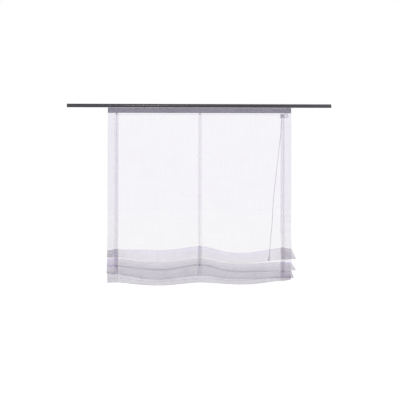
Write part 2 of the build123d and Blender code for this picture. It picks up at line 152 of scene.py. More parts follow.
# How dense the cloth is drawn from the header down, partly for the extra cloth in the folds and
# partly as painted shade that darkens the folds towards the bottom of the stack: a turn of the
# path, a distance above it and the density there. "top" and "middle" are the levels in
# PANEL_LEVELS.
PANEL_LEVELS = {"top": 0.0, "middle": -0.5}
DENSITY_AND_SHADE_MARKS = (
    ("top", 0.0, 0.94),
    ("middle", 0.0, 1.0),
    ("a", 0.020, 1.14),
    ("a", -0.004, 1.0),
    ("f1", 0.0, 1.16),
    ("b", -0.004, 1.42),
    ("f2", 0.012, 2.0),
    ("f2", 0.007, 1.7),
    ("f2", 0.0, 1.6),
    ("f2", -0.006, 1.9),
    ("f3", 0.014, 2.15),
    ("f3", 0.0, 2.5),
    ("f3", -0.002, 4.2),
    ("hem", HEM_TURN_UP + 0.001, 4.2),
    ("hem", HEM_TURN_UP - 0.001, 2.4),
    ("hem", 0.0, 2.3),
)
# In the folds: where the density by the doubled side hems and beside them changes, over what width,
# and how much it adds or takes away; what it adds is painted shade
HEMMED_FROM, HEMMED_WIDTH = 0.43, 0.02
BESIDE_FROM, BESIDE_WIDTH = 0.385, 0.07
LEFT_BESIDE, LEFT_BESIDE_UPPER, RIGHT_BESIDE = 0.05, 0.25, 0.16
LEFT_HEM_UPPER, HEM_LOWER = 0.02, -0.46

# Stitches, header tape, gliders and rings
FRONT_OFFSET = -(CLOTH_THICKNESS / 2 + 0.00005)
STITCH_MARGIN = 0.002
STITCH_SPACING = 0.012
TAPE_STITCH_INSET = 0.0014
GLIDER_COUNT = 12
GLIDER_PITCH = 0.087
TAPE_FRONT_Y = -0.0036
TAPE_BACK_Y = -0.0009
SUNK_LINES = (0.12, 0.34, 0.62, 0.88)
RING_COLUMNS = (-0.453, 0.0, 0.457)
UPPER_RING_ROWS = (-0.305, -0.505, -0.705)
RING_OUTER = 0.0055
RING_BACK = 0.0020
RING_HEM_STEP = 0.0004

# The names of the left, centre and right tapes, cords and beads
SIDES = ("left", "centre", "right")

# Surroundings
WORLD_STRENGTH = 0.75
FLOOR_Z = -1.95
FLOOR_REACH = 12.0
FLOOR_LIFT = 0.388

# Colours, linear
VOILE = (0.315, 0.225, 0.50)
VOILE_FOLDS = (0.318, 0.276, 0.385)
LIFT_WEAVE = (0.33, 0.28, 0.40)
# Painted shade: the opaque header tape gets the dark grey it shows with the light behind it
HEADER_IN_SHADE = (0.250, 0.246, 0.270)
THREAD = (0.62, 0.60, 0.66)
CORD = (0.50, 0.50, 0.53)
WHITE_PLASTIC = (0.62, 0.62, 0.63)
MILKY_PLASTIC = (0.55, 0.56, 0.57)
LOCK_PLASTIC = (0.36, 0.35, 0.40)
ANTHRACITE = (0.050, 0.048, 0.056)
CAP_BLACK = (0.018, 0.018, 0.020)
STEEL = (0.50, 0.50, 0.51)
BRASS = (0.52, 0.38, 0.17)


def smooth_share(t):
    """A share from 0 to 1 that starts and ends gently."""
    t = min(1.0, max(0.0, t))
    return t * t * (3 - 2 * t)


# The path of the cloth


def blended(here, there, share):
    return [a + (b - a) * share for a, b in zip(here, there)]


def station(x):
    """Fold heights in metres and fullness at x: pulled up at a tape, sagging between."""
    edge, inner = TAPE_X + TAPE_ZONE, TAPE_X - TAPE_ZONE
    puff = 1.0
    if abs(x) >= inner:
        tape, rim = (LEFT_TAPE, LEFT_EDGE) if x < 0 else (RIGHT_TAPE, RIGHT_EDGE)
        heights = blended(tape, rim, max(0.0, (abs(x) - edge) / (CLOTH_WIDTH / 2 - edge)))
    elif abs(x) <= TAPE_ZONE:
        heights = list(CENTRE_TAPE)
    else:
        outer_tape, span = (LEFT_TAPE, LEFT_SPAN) if x < 0 else (RIGHT_TAPE, RIGHT_SPAN)
        across = (abs(x) - TAPE_ZONE) / (inner - TAPE_ZONE)
        sag = math.sin(math.pi * across) ** 1.4
        heights = blended(blended(CENTRE_TAPE, outer_tape, smooth_share(across)), span, sag)
        puff = 1 + (SPAN_PUFF - 1) * sag
    return [h * MM for h in heights], puff


def lean_at(height):
    return PANEL_LEAN * min(1.0, max(0.0, (LIFT_TAPE_TOP - height) / LEAN_LENGTH))


def pinch(top):
    """The narrow turn where the cloth is held up by a ring row."""
    w = PINCH_WIDTH
    front = [(w, top - MM, 0), (w - 0.9 * MM, top, 0)]
    return front + [(0.9 * MM, top, 0), (0, top - MM, 0), (0, top - 2.2 * MM, 0)]


def fold_corners(x):
    """The path at x as (forward, height, radius) corners, from the header to the turned hem."""
    (a, f1, b, f2, c, f3, hem), puff = station(x)
    d1, d2, d3 = [depth * puff for depth in FOLD_DEPTHS]
    w1, w2, w3 = FOLD_WIDTHS
    path = [(0, HEADER_TOP, 0), (0, LIFT_TAPE_TOP, 0), (0, a + 0.080, 0.080)]
    path += [(d1, a - 0.002, 0.030), (d1, f1, 0.0062), (d1 - w1, f1, 0.0055)] + pinch(a)
    path += [(d2, f2 + 0.026, 0.024), (d2, f2, 0.0052), (d2 - w2, f2, 0.0048)] + pinch(b)
    path += [(d3, f3 + 0.020, 0.015), (d3, f3, 0.0041), (d3 - w3, f3, 0.0041)] + pinch(c)
    path += [(HEM_POCKET, hem + 0.016, 0.012), (HEM_POCKET, hem, 0.0021), (0, hem, 0.0021)]
    path += [(0, hem + HEM_TURN_UP, 0)]
    return [(forward + lean_at(height), height, radius) for forward, height, radius in path]


def straight_counts():
    """How many steps each straight stretch gets, from the fullest place of the cloth."""
    corners = fold_corners(FULLEST_X)
    counts = []
    for i, (p, q) in enumerate(zip(corners, corners[1:])):
        spacing = PANEL_SPACING if i < 2 else FOLD_SPACING
        counts.append(max(1, round(math.dist(p[:2], q[:2]) / spacing)))
    return counts


STRAIGHT_COUNTS = straight_counts()


def rounded_corner(before, corner, after):
    """Points round one corner, in the (forward, height) plane."""
    if corner[2] == 0:
        return [Vector(corner[:2])]
    p, q, r = Vector(before[:2]), Vector(corner[:2]), Vector(after[:2])
    inward, outward = (q - p).normalized(), (r - q).normalized()
    half = inward.angle(outward) / 2
    reach = corner[2] * math.tan(half)
    start, end = q - inward * reach, q + outward * reach
    points = []
    for i in range(ARC_STEPS + 1):
        t = i / ARC_STEPS
        weight = 2 * math.cos(half) * t * (1 - t)
        total = (1 - t) ** 2 + weight + t * t
        points.append((start * (1 - t) ** 2 + q * weight + end * t * t) / total)
    return points


def flat_path(x):
    """The whole path at x as points in the (forward, height) plane, the same count at every x."""
    corners = fold_corners(x)
    points = [Vector(corners[0][:2])]
    turns = [rounded_corner(*trio) for trio in zip(corners, corners[1:], corners[2:])]
    turns.append([Vector(corners[-1][:2])])
    for count, turn in zip(STRAIGHT_COUNTS, turns):
        here = points[-1]
        points += [here.lerp(turn[0], i / count) for i in range(1, count)]
        points += turn
    return points


def softened(points, rounds=3):
    """The same path with its small corners softened, its ends kept."""
    first = STRAIGHT_COUNTS[0]
    for _ in range(rounds):
        before = list(points)
        for i in range(first + 1, len(points) - 1):
            points[i] = before[i] * 0.5 + (before[i - 1] + before[i + 1]) * 0.25
    return points


def back_normals(points):
    """The direction towards the back of the cloth at each point of a flat path."""
    normals = []
    for i in range(len(points)):
        heading = points[min(i + 1, len(points) - 1)] - points[max(i - 1, 0)]
        heading.normalize()
        normals.append(Vector((heading.y, -heading.x)))
    return normals


def row_of(corner):
    """The row where the turn at a corner of the path begins."""
    turns = sum(ARC_STEPS + 1 if radius else 1 for _, _, radius in fold_corners(0)[1:corner])
    return sum(STRAIGHT_COUNTS[:corner]) - corner + 1 + turns


FOLD_ROWS = [(row_of(first), row_of(last)) for first, last in ((2, 8), (8, 16), (16, 24))]


def ear(x, row, height):
    """How far the free edge of a fold stands out sideways past the side tapes."""
    share = max(0.0, (abs(x) - TAPE_X - TAPE_ZONE) / (CLOTH_WIDTH / 2 - TAPE_X - TAPE_ZONE))
    if share == 0:
        return 0.0, 0.0
    heights = station(x)[0]
    for fold, (first, last) in enumerate(FOLD_ROWS):
        if first <= row < last:
            top, bottom = heights[2 * fold], heights[2 * fold + 1]
            drop = min(1.0, max(0.0, (top - height) / (top - bottom)))
            ears = RIGHT_EARS if x > 0 else LEFT_EARS
            return math.copysign(share * drop * ears[fold], x), share
    return 0.0, share


def place(x, forward, height, row):
    """A point of the cloth in space; past the side tapes the folds flare outwards."""
    sideways, share = ear(x, row, height)
    depth = forward * (1 - share * FLARE_DEPTH)
    return Vector((x + sideways, PANEL_Y - depth, height))


def crowding_and_shade(x, height):
    """How much denser the cloth is drawn where it bunches up: 1 on the panel, more in the folds,
    partly for the extra cloth and partly as painted shade.
    """
    levels = dict(zip(TURNS, station(x)[0])) | PANEL_LEVELS
    marks = [(levels[turn] + above, density) for turn, above, density in DENSITY_AND_SHADE_MARKS]
    density_and_shade = marks[-1][1]
    for (high, above), (low, below) in zip(marks, marks[1:]):
        if height > low:
            share = min(1.0, max(0.0, (high - height) / (high - low)))
            density_and_shade = above + (below - above) * share
            break
    in_folds = smooth_share((levels["a"] + 0.01 - height) / 0.02)
    upper = smooth_share((height - levels["f1"] + 0.004) / 0.008)
    beside = LEFT_BESIDE + LEFT_BESIDE_UPPER * upper if x < 0 else RIGHT_BESIDE
    beside *= smooth_share((abs(x) - BESIDE_FROM) / BESIDE_WIDTH)
    hemmed = upper * (LEFT_HEM_UPPER if x < 0 else 0.0) + (1 - upper) * HEM_LOWER
    hemmed *= smooth_share((abs(x) - HEMMED_FROM) / HEMMED_WIDTH)
    return density_and_shade * (1 + in_folds * (hemmed + beside))


def softness(x, height, length):
    """How far the cloth stands forward of its plain path: long soft waves and small puckers."""
    near_header = smooth_share((HEADER_BOTTOM - height) / 0.12)
    near_edge = smooth_share((CLOTH_WIDTH / 2 - abs(x)) / 0.02)
    near_tape = smooth_share((min(abs(x), abs(abs(x) - TAPE_X)) - TAPE_ZONE) / 0.05)
    waves = noise.noise(Vector((x * 7, 3.1, length * 1.6))) * 2.2 * MM
    drag = noise.noise(Vector((x * 22 + length * 6, 7.7, length * 4))) * 0.7 * MM
    return (waves + drag) * near_header * near_edge * near_tape


def column(x, offset, rows=None):
    """Points down the cloth at x, moved back by offset, with running lengths and densities, which
    carry painted shade.
    """
    flat = softened(flat_path(x))
    normals = back_normals(flat)
    points, lengths, densities_and_shade = [], [], []
    length = 0.0
    for i, (point, normal) in enumerate(zip(flat, normals)):
        if i:
            length += (point - flat[i - 1]).length
        moved = point + normal * (offset - softness(x, point.y, length))
        points.append(place(x, moved.x, moved.y, i))
        lengths.append(length)
        densities_and_shade.append(crowding_and_shade(x, point.y))
    used = slice(*rows) if rows else slice(None)
    return points[used], lengths[used], densities_and_shade[used]


# Meshes


def grid_object(name, columns, flat_places):
    """A sheet from columns of points, with a UV map in metres of flat cloth."""
    rows = len(columns[0][0])
    points = [p for column_points, _, _ in columns for p in column_points]
    faces = []
    for j in range(len(columns) - 1):
        for i in range(rows - 1):
            a, b = j * rows + i, (j + 1) * rows + i
            faces.append((a, a + 1, b + 1, b))
    mesh = bpy.data.meshes.new(name)
    mesh.from_pydata(points, [], faces)
    mesh.polygons.foreach_set("use_smooth", [True] * len(faces))
    layer = mesh.uv_layers.new(name="flat")
    for loop in mesh.loops:
        j, i = divmod(loop.vertex_index, rows)
        layer.data[loop.index].uv = (flat_places[j], -columns[j][1][i])
    # The density attribute, which paints shade into the folds through the cloth's cover
    density_and_shade = mesh.attributes.new("crowding_and_shade", "FLOAT", "POINT")
    density_and_shade.data.foreach_set("value", [value for _, _, densities_and_shade in columns for value in densities_and_shade])
    mesh.update()
    return linked(name, mesh)


def linked(name, data):
    made = bpy.data.objects.new(name, data)
    bpy.context.scene.collection.objects.link(made)
    return made


def spread(start, end, spacing):
    count = max(1, round(abs(end - start) / spacing))
    return [start + (end - start) * i / count for i in range(count + 1)]


def make_cloth():
    """The voile in one piece: the front from edge to edge and both side hems turned behind it."""
    half = CLOTH_WIDTH / 2
    hem = half - SIDE_HEM
    left = [(-x, HEM_STEP, -(2 * half - x)) for x in spread(hem, half, HEM_SPACING)]
    front = [(x, 0.0, x) for x in spread(-half, half, COLUMN_SPACING)]
    right = [(x, HEM_STEP, 2 * half - x) for x in spread(half, hem, HEM_SPACING)]
    places = left + front + right
    columns = [column(x, offset) for x, offset, _ in places]
    cloth = grid_object("voile_cloth", columns, [flat for _, _, flat in places])
    solidify(cloth, CLOTH_THICKNESS, 0.0)
    return cloth


def solidify(made, thickness, offset):
    """Gives a sheet its thickness."""
    wall = made.modifiers.new("thickness", "SOLIDIFY")
    wall.thickness = thickness
    wall.offset = offset


def tape_rows():
    """The rows of the path that a lift tape covers, from the header to above the bottom hem."""
    return STRAIGHT_COUNTS[0], row_of(27)


def make_lift_tape(name, x):
    """A narrow woven tape sewn down the back of the cloth."""
    offset = TAPE_STEP + (HEM_STEP if abs(x) > TAPE_ZONE else 0.0)
    half = TAPE_WIDTH / 2
    places = (-half, -half + 0.0012, 0, half - 0.0012, half)
    columns = [column(x + across, offset, tape_rows()) for across in places]
    tape = grid_object(name, columns, places)
    solidify(tape, LIFT_TAPE_THICKNESS, 0.0)
    return tape


def tube(name, points, radius, sides=10):
    """A mesh tube along close points, with a UV map of running length and turn."""
    vertices, faces = [], []
    across = Vector((0, 1, 0))
    for i, point in enumerate(points):
        heading = (points[min(i + 1, len(points) - 1)] - points[max(i - 1, 0)]).normalized()
        across = (across - heading * across.dot(heading)).normalized()
        up = heading.cross(across)
        for k in range(sides):
            turn = 2 * math.pi * k / sides
            vertices.append(point + (across * math.cos(turn) + up * math.sin(turn)) * radius)
    for i in range(len(points) - 1):
        for k in range(sides):
            a, b = i * sides + k, i * sides + (k + 1) % sides
            faces.append((a, b, b + sides, a + sides))
    faces.append(tuple(reversed(range(sides))))
    last = (len(points) - 1) * sides
    faces.append(tuple(range(last, last + sides)))
    mesh = bpy.data.meshes.new(name)
    mesh.from_pydata(vertices, [], faces)
    mesh.polygons.foreach_set("use_smooth", [len(p.vertices) == 4 for p in mesh.polygons])
    mesh.update()
    return linked(name, mesh)


def bend(centre, radius, start, end, y, steps=10):
    """Points round a bar, in the plane across the cords; angles in degrees from +X towards +Z."""
    points = []
    for i in range(steps + 1):
        turn = math.radians(start + (end - start) * i / steps)
        x, z = centre[0] + radius * math.cos(turn), centre[1] + radius * math.sin(turn)
        points.append(Vector((x, y, z)))
    return points


def between(start, end, spacing=0.02):
    """Points along a straight run, without its last one."""
    count = max(1, round((end - start).length / spacing))
    return [start.lerp(end, i / count) for i in range(count)]


def lift_cord_points(index):
    """The line of a lift cord from its knot to the lock."""
    x, y = CORD_COLUMNS[index], CORD_DEPTHS[index]
    pinch_c = (LEFT_TAPE, CENTRE_TAPE, RIGHT_TAPE)[index][4] * MM
    low = Vector((x, y, pinch_c - RING_DROP - RING_HALF - BEAD_GAP - BEAD_HEIGHT))
    if index == 2:
        turn = bend(((x + STRAND_RIGHT) / 2, -0.064), (x - STRAND_RIGHT) / 2, 0, 180, y, 16)
        return between(low, turn[0]) + turn + [Vector((STRAND_RIGHT, y, STRAND_END))]
    eye = bend((x + 0.004, CORD_RUN_Z - 0.004), 0.004, 180, 90, y)
    bar = bend((STRAND_LEFT - 0.0036, CORD_RUN_Z - 0.0036), 0.0036, 90, 0, y)
    end = [Vector((STRAND_LEFT, y, STRAND_END))]
    return between(low, eye[0]) + eye + between(eye[-1], bar[0]) + bar + end


def pull_cord_points():
    """Points read from the smooth line of the pull cord."""
    curve = bpy.data.curves.new("pull_line", "CURVE")
    curve.dimensions = "3D"
    spline = curve.splines.new("NURBS")
    spline.points.add(len(PULL_POINTS) - 1)
    for point, place_of in zip(spline.points, PULL_POINTS):
        point.co = (*place_of, 1)
    spline.order_u = 3
    spline.use_endpoint_u = True
    spline.resolution_u = 8
    line = linked("pull_line", curve)
    bpy.context.view_layer.update()
    evaluated = line.evaluated_get(bpy.context.evaluated_depsgraph_get())
    mesh = bpy.data.meshes.new_from_object(evaluated)
    points = [v.co.copy() for v in mesh.vertices]
    bpy.data.objects.remove(line)
    bpy.data.meshes.remove(mesh)
    return points


def turned(profile, plane, segments=40):
    """Vertices and faces of a closed (radius, along) outline turned about the plane's Z."""
    vertices, faces = [], []
    count = len(profile)
    for i in range(segments):
        angle = 2 * math.pi * i / segments
        for radius, along in profile:
            point = Vector((radius * math.cos(angle), radius * math.sin(angle), along))
            vertices.append(plane @ point)
    for i in range(segments):
        j = (i + 1) % segments
        for k in range(count):
            m = (k + 1) % count
            faces.append((i * count + k, j * count + k, j * count + m, i * count + m))
    return vertices, faces


def rounded_profile(corners, radius, steps=3):
    """A closed (radius, along) outline with each corner rounded by the same small radius."""
    points = []
    for i, corner in enumerate(corners):
        p, q, r = Vector(corners[i - 1]), Vector(corner), Vector(corners[(i + 1) % len(corners)])
        reach = min(radius, (q - p).length * 0.45, (r - q).length * 0.45)
        start, end = q + (p - q).normalized() * reach, q + (r - q).normalized() * reach
        for step in range(steps + 1):
            s = step / steps
            points.append(tuple(start * (1 - s) ** 2 + q * 2 * s * (1 - s) + end * s * s))
    return points


def turned_object(name, profile, plane):
    """A closed mesh turned from one outline."""
    vertices, faces = turned(profile, plane)
    mesh = bpy.data.meshes.new(name)
    mesh.from_pydata([tuple(v) for v in vertices], [], faces)
    work = bmesh.new()
    work.from_mesh(mesh)
    bmesh.ops.remove_doubles(work, verts=work.verts, dist=1e-6)
    bmesh.ops.recalc_face_normals(work, faces=work.faces)
    work.to_mesh(mesh)
    work.free()
    mesh.polygons.foreach_set("use_smooth", [True] * len(mesh.polygons))
    mesh.update()
    return linked(name, mesh)


def pointed(origin, direction):
    """A plane at origin whose Z runs along direction."""
    turn = Vector(direction).to_track_quat("Z", "Y").to_matrix().to_4x4()
    return Matrix.Translation(origin) @ turn


# What repeats


def new_tree(name, inputs):
    """A geometry tree with named inputs: its node maker, its group input and its output."""
    tree = bpy.data.node_groups.new(name, "GeometryNodeTree")
    tree.interface.new_socket("Geometry", in_out="INPUT", socket_type="NodeSocketGeometry")
    for socket, (kind, value) in inputs.items():
        made = tree.interface.new_socket(socket, in_out="INPUT", socket_type=kind)
        if value is not None:
            made.default_value = value
    tree.interface.new_socket("Geometry", in_out="OUTPUT", socket_type="NodeSocketGeometry")
    g = NodeMaker(name, tree)
    return g, g.add("NodeGroupInput"), g.add("NodeGroupOutput")


def end_tree(g, given, result, instances):
    """Realize, smooth and dress the instances, and put them out."""
    real = g.add("GeometryNodeRealizeInstances", inputs={0: instances})
    smooth = g.add("GeometryNodeSetShadeSmooth", inputs={0: real.outputs[0]})
    dressing = {"Geometry": smooth.outputs[0], "Material": given.outputs["Material"]}
    dressed = g.add("GeometryNodeSetMaterial", inputs=dressing)
    g.tree.links.new(dressed.outputs[0], result.inputs[0])
    return g.tree


def make_ring_tree():
    """A moulded ring, flat on its back, at every vertex."""
    inputs = {
        "Radius": ("NodeSocketFloat", 0.00475),
        "Band": ("NodeSocketFloat", 0.00075),
        "Material": ("NodeSocketMaterial", None),
    }
    g, given, result = new_tree("sewn_rings", inputs)
    points = g.add("GeometryNodeMeshToPoints", inputs={0: given.outputs["Geometry"]})
    circles = []
    for sides, radius in ((40, "Radius"), (12, "Band")):
        size = {"Resolution": sides, "Radius": given.outputs[radius]}
        circles.append(g.add("GeometryNodeCurvePrimitiveCircle", inputs=size).outputs[0])
    ring = g.add("GeometryNodeCurveToMesh", inputs={0: circles[0], 1: circles[1]})
    spots = {"Points": points.outputs[0], "Instance": ring.outputs[0]}
    placed = g.add("GeometryNodeInstanceOnPoints", inputs=spots)
    return end_tree(g, given, result, placed.outputs[0])


def make_stitch_tree():
    """Short stitches spaced along a line of edges."""
    inputs = {
        "Pitch": ("NodeSocketFloat", 0.0042),
        "Length": ("NodeSocketFloat", 0.0030),
        "Thread": ("NodeSocketFloat", 0.0003),
        "Material": ("NodeSocketMaterial", None),
    }
    g, given, result = new_tree("sewn_stitches", inputs)
    line = g.add("GeometryNodeMeshToCurve", inputs={0: given.outputs["Geometry"]})
    points = g.add("GeometryNodeCurveToPoints", mode="LENGTH")
    g.tree.links.new(line.outputs[0], points.inputs["Curve"])
    g.tree.links.new(given.outputs["Pitch"], points.inputs["Length"])
    bead = g.add("GeometryNodeMeshUVSphere", inputs={"Segments": 6, "Rings": 4, "Radius": 0.5})
    shape = g.add("ShaderNodeCombineXYZ")
    for axis, size in (("X", "Thread"), ("Y", "Thread"), ("Z", "Length")):
        g.tree.links.new(given.outputs[size], shape.inputs[axis])
    drawn_out = {"Geometry": bead.outputs[0], "Scale": shape.outputs[0]}
    stitch = g.add("GeometryNodeTransform", inputs=drawn_out)
    spots = {"Points": points.outputs[0], "Instance": stitch.outputs[0]}
    placed = g.add("GeometryNodeInstanceOnPoints", inputs=spots)
    g.tree.links.new(points.outputs["Rotation"], placed.inputs["Rotation"])
    return end_tree(g, given, result, placed.outputs[0])


def grown(name, points, edges, tree, values):
    """A plain mesh that a geometry tree makes from points and edges."""
    mesh = bpy.data.meshes.new(name)
    mesh.from_pydata([tuple(p) for p in points], edges, [])
    made = linked(name, mesh)
    modifier = made.modifiers.new("repeats", "NODES")
    modifier.node_group = tree
    for socket in tree.interface.items_tree:
        if socket.in_out == "INPUT" and socket.name in values:
            modifier[socket.identifier] = values[socket.name]
    bpy.context.view_layer.update()
    evaluated = made.evaluated_get(bpy.context.evaluated_depsgraph_get())
    made.data = bpy.data.meshes.new_from_object(evaluated)
    made.modifiers.clear()
    bpy.data.meshes.remove(mesh)
    return made


def stitch_line(name, lines, tree, thread):
    """Stitches along several lines of points, in one piece."""
    points, edges = [], []
    for line in lines:
        first = len(points)
        points += line
        edges += [(first + i, first + i + 1) for i in range(len(line) - 1)]
    return grown(name, points, edges, tree, {"Material": thread})


def upright_stitches():
    """Stitch lines down both side hems and both edges of every lift tape."""
    lines = []
    hem_line = CLOTH_WIDTH / 2 - SIDE_HEM + STITCH_MARGIN
    for x in (-hem_line, hem_line):
        lines.append(column(x, FRONT_OFFSET, (STRAIGHT_COUNTS[0], row_of(29)))[0])
    from_middle = TAPE_WIDTH / 2 - TAPE_STITCH_INSET
    for x in (-TAPE_X, 0.0, TAPE_X):
        for edge in (-1, 1):
            lines.append(column(x + edge * from_middle, FRONT_OFFSET, tape_rows())[0])
    return lines


def level_stitches(row):
    """A stitch line from side to side along one row of the cloth's mesh."""
    reach = CLOTH_WIDTH / 2 - STITCH_MARGIN
    places = spread(-reach, reach, STITCH_SPACING)
    return [column(x, FRONT_OFFSET, (row, row + 1))[0][0] for x in places]


# The header tape


def glider_places():
    return [GLIDER_PITCH * (i - (GLIDER_COUNT - 1) / 2) for i in range(GLIDER_COUNT)]


def make_header_tape():
    """The woven header tape: rounded edges, sunk woven lines and a loop for each glider hook."""
    half = CLOTH_WIDTH / 2 - 0.001
    top, low = HEADER_TOP - 0.0005, HEADER_BOTTOM
    rows = 36
    section = []
    for side in (-1, 1):
        for i in range(rows + 1):
            share = i / rows if side < 0 else 1 - i / rows
            z = low + (top - low) * share
            edge = min(share, 1 - share) * (top - low)
            round_off = 0.0006 * max(0.0, 1 - edge / 0.0012) ** 2
            sunk = sum(math.exp(-(((share - at) / 0.012) ** 2)) for at in SUNK_LINES)
            inward = round_off + 0.00022 * sunk
            section.append((TAPE_FRONT_Y + inward if side < 0 else TAPE_BACK_Y - inward, z))
    hooks = glider_places()
    places = spread(-half, half, 0.0029)
    vertices, faces = [], []
    count = len(section)
    for x in places:
        near = min(abs(x - hook) for hook in hooks)
        loop = smooth_share((0.0065 - near) / 0.003)
        for depth, z in section:
            share = (z - low) / (top - low)
            bulge = loop * 0.00035
            bulge *= smooth_share((0.42 - share) / 0.06) * smooth_share(share / 0.05)
            wave = noise.noise(Vector((x * 40, z * 60, depth * 300))) * 0.00008
            vertices.append((x, depth - bulge * (depth < -0.002) + wave, z))
    for j in range(len(places) - 1):
        for i in range(count):
            a, b = j * count + i, j * count + (i + 1) % count
            faces.append((a, b, b + count, a + count))
    faces.append(tuple(reversed(range(count))))
    faces.append(tuple(range((len(places) - 1) * count, len(places) * count)))
    mesh = bpy.data.meshes.new("woven_header_tape")
    mesh.from_pydata(vertices, [], faces)
    layer = mesh.uv_layers.new(name="flat")
    for loop in mesh.loops:
        layer.data[loop.index].uv = (vertices[loop.vertex_index][0], vertices[loop.vertex_index][2])
    density_and_shade = mesh.attributes.new("crowding_and_shade", "FLOAT", "POINT")
    density_and_shade.data.foreach_set("value", [1.0] * len(vertices))
    work = bmesh.new()
    work.from_mesh(mesh)
    bmesh.ops.recalc_face_normals(work, faces=work.faces)
    work.to_mesh(mesh)
    work.free()
    mesh.polygons.foreach_set("use_smooth", [len(p.vertices) == 4 for p in mesh.polygons])
    mesh.update()
    return linked("woven_header_tape", mesh)


# Rings, beads and the pull


def ring_heights(row):
    """Heights of the rings of one row, left to right."""
    if row < len(UPPER_RING_ROWS):
        return [UPPER_RING_ROWS[row]] * 3
    level = 2 * (row - len(UPPER_RING_ROWS))
    return [heights[level] * MM - RING_DROP for heights in (LEFT_TAPE, CENTRE_TAPE, RIGHT_TAPE)]


def ring_centre(x, z):
    """The middle of a ring, just behind the back of the tape that it is sewn to."""
    hem = RING_HEM_STEP if abs(x) > TAPE_ZONE else 0.0
    return (x, PANEL_Y - lean_at(z) + RING_BACK + hem + RING_OUTER, z)


def make_bead(name, x, y, low):
    """A turned bead with a rounded belly, resting on the knot of its cord."""
    height, belly = BEAD_HEIGHT, 0.0049
    outline = [(0.0008, height), (0.0034, height), (belly, height - 0.0026), (belly, 0.0026)]
    outline += [(0.0034, 0.0), (0.0018, 0.0), (0.0018, 0.0017), (0.0008, 0.0022)]
    return turned_object(name, rounded_profile(outline, 0.0011), Matrix.Translation((x, y, low)))


def make_pull():
    """The turned pull on the end of the cord, with a collar and a rounded foot."""
    end, before = Vector(PULL_POINTS[-1]), Vector(PULL_POINTS[-2])
    outline = [(0.0014, 0.0), (0.0022, 0.0), (0.0023, 0.004), (0.0029, 0.0055), (0.0040, 0.009)]
    outline += [(0.0055, 0.018), (0.0064, 0.027), (0.0064, 0.0312), (0.0047, 0.034)]
    profile = rounded_profile(outline + [(0.0014, 0.034)], 0.0008)
    return turned_object("turned_pull", profile, pointed(end, end - before))


# Materials


class NodeMaker:
    """The nodes of a material or a tree, with short ways to add and join them."""

    def __init__(self, name, tree=None):
        if tree is None:
            self.material = bpy.data.materials.new(name)
            self.material.use_nodes = True
            tree = self.material.node_tree
            tree.nodes.clear()
        self.tree = tree

    def add(self, kind, **values):
        """A node with its inputs set or joined: a value is a socket, a number or a colour."""
        node = self.tree.nodes.new(kind)
        inputs = values.pop("inputs", {})
        for key, value in values.items():
            setattr(node, key, value)
        for key, value in inputs.items():
            if isinstance(value, bpy.types.NodeSocket):
                self.tree.links.new(value, node.inputs[key])
            else:
                node.inputs[key].default_value = value
        return node

    def sum_of(self, a, b, operation="ADD"):
        return self.add("ShaderNodeMath", operation=operation, inputs={0: a, 1: b}).outputs[0]

    def ranged(self, value, low, high, to_low, to_high):
        limits = {0: value, 1: low, 2: high, 3: to_low, 4: to_high}
        return self.add("ShaderNodeMapRange", inputs=limits).outputs[0]

    def noise_of(self, place_of, scale, detail=2.0):
        values = {"Vector": place_of, "Scale": scale, "Detail": detail}
        return self.add("ShaderNodeTexNoise", inputs=values).outputs[0]

    def mixed(self, share, a, b):
        node = self.add("ShaderNodeMix", data_type="RGBA")
        for socket, value in ((node.inputs[0], share), (node.inputs[6], a), (node.inputs[7], b)):
            if isinstance(value, bpy.types.NodeSocket):
                self.tree.links.new(value, socket)
            else:
                socket.default_value = value
        return node.outputs[2]

    def finish(self, shader):
        output = self.add("ShaderNodeOutputMaterial")
        self.tree.links.new(shader, output.inputs["Surface"])
        return self.material


def rgba(colour):
    return (*colour, 1.0)


def shaded(colour, factor):
    return rgba([c * factor for c in colour])


def new_group(name, inputs, outputs):
    """A shader node group with named sockets; returns its shader helper, inputs and output node."""
    tree = bpy.data.node_groups.new(name, "ShaderNodeTree")
    for socket, (kind, value) in inputs.items():
        made = tree.interface.new_socket(socket, in_out="INPUT", socket_type=kind)
        if value is not None:
            made.default_value = value
    for socket, kind in outputs.items():
        tree.interface.new_socket(socket, in_out="OUTPUT", socket_type=kind)
    helper = NodeMaker(name, tree)
    return helper, helper.add("NodeGroupInput"), helper.add("NodeGroupOutput")


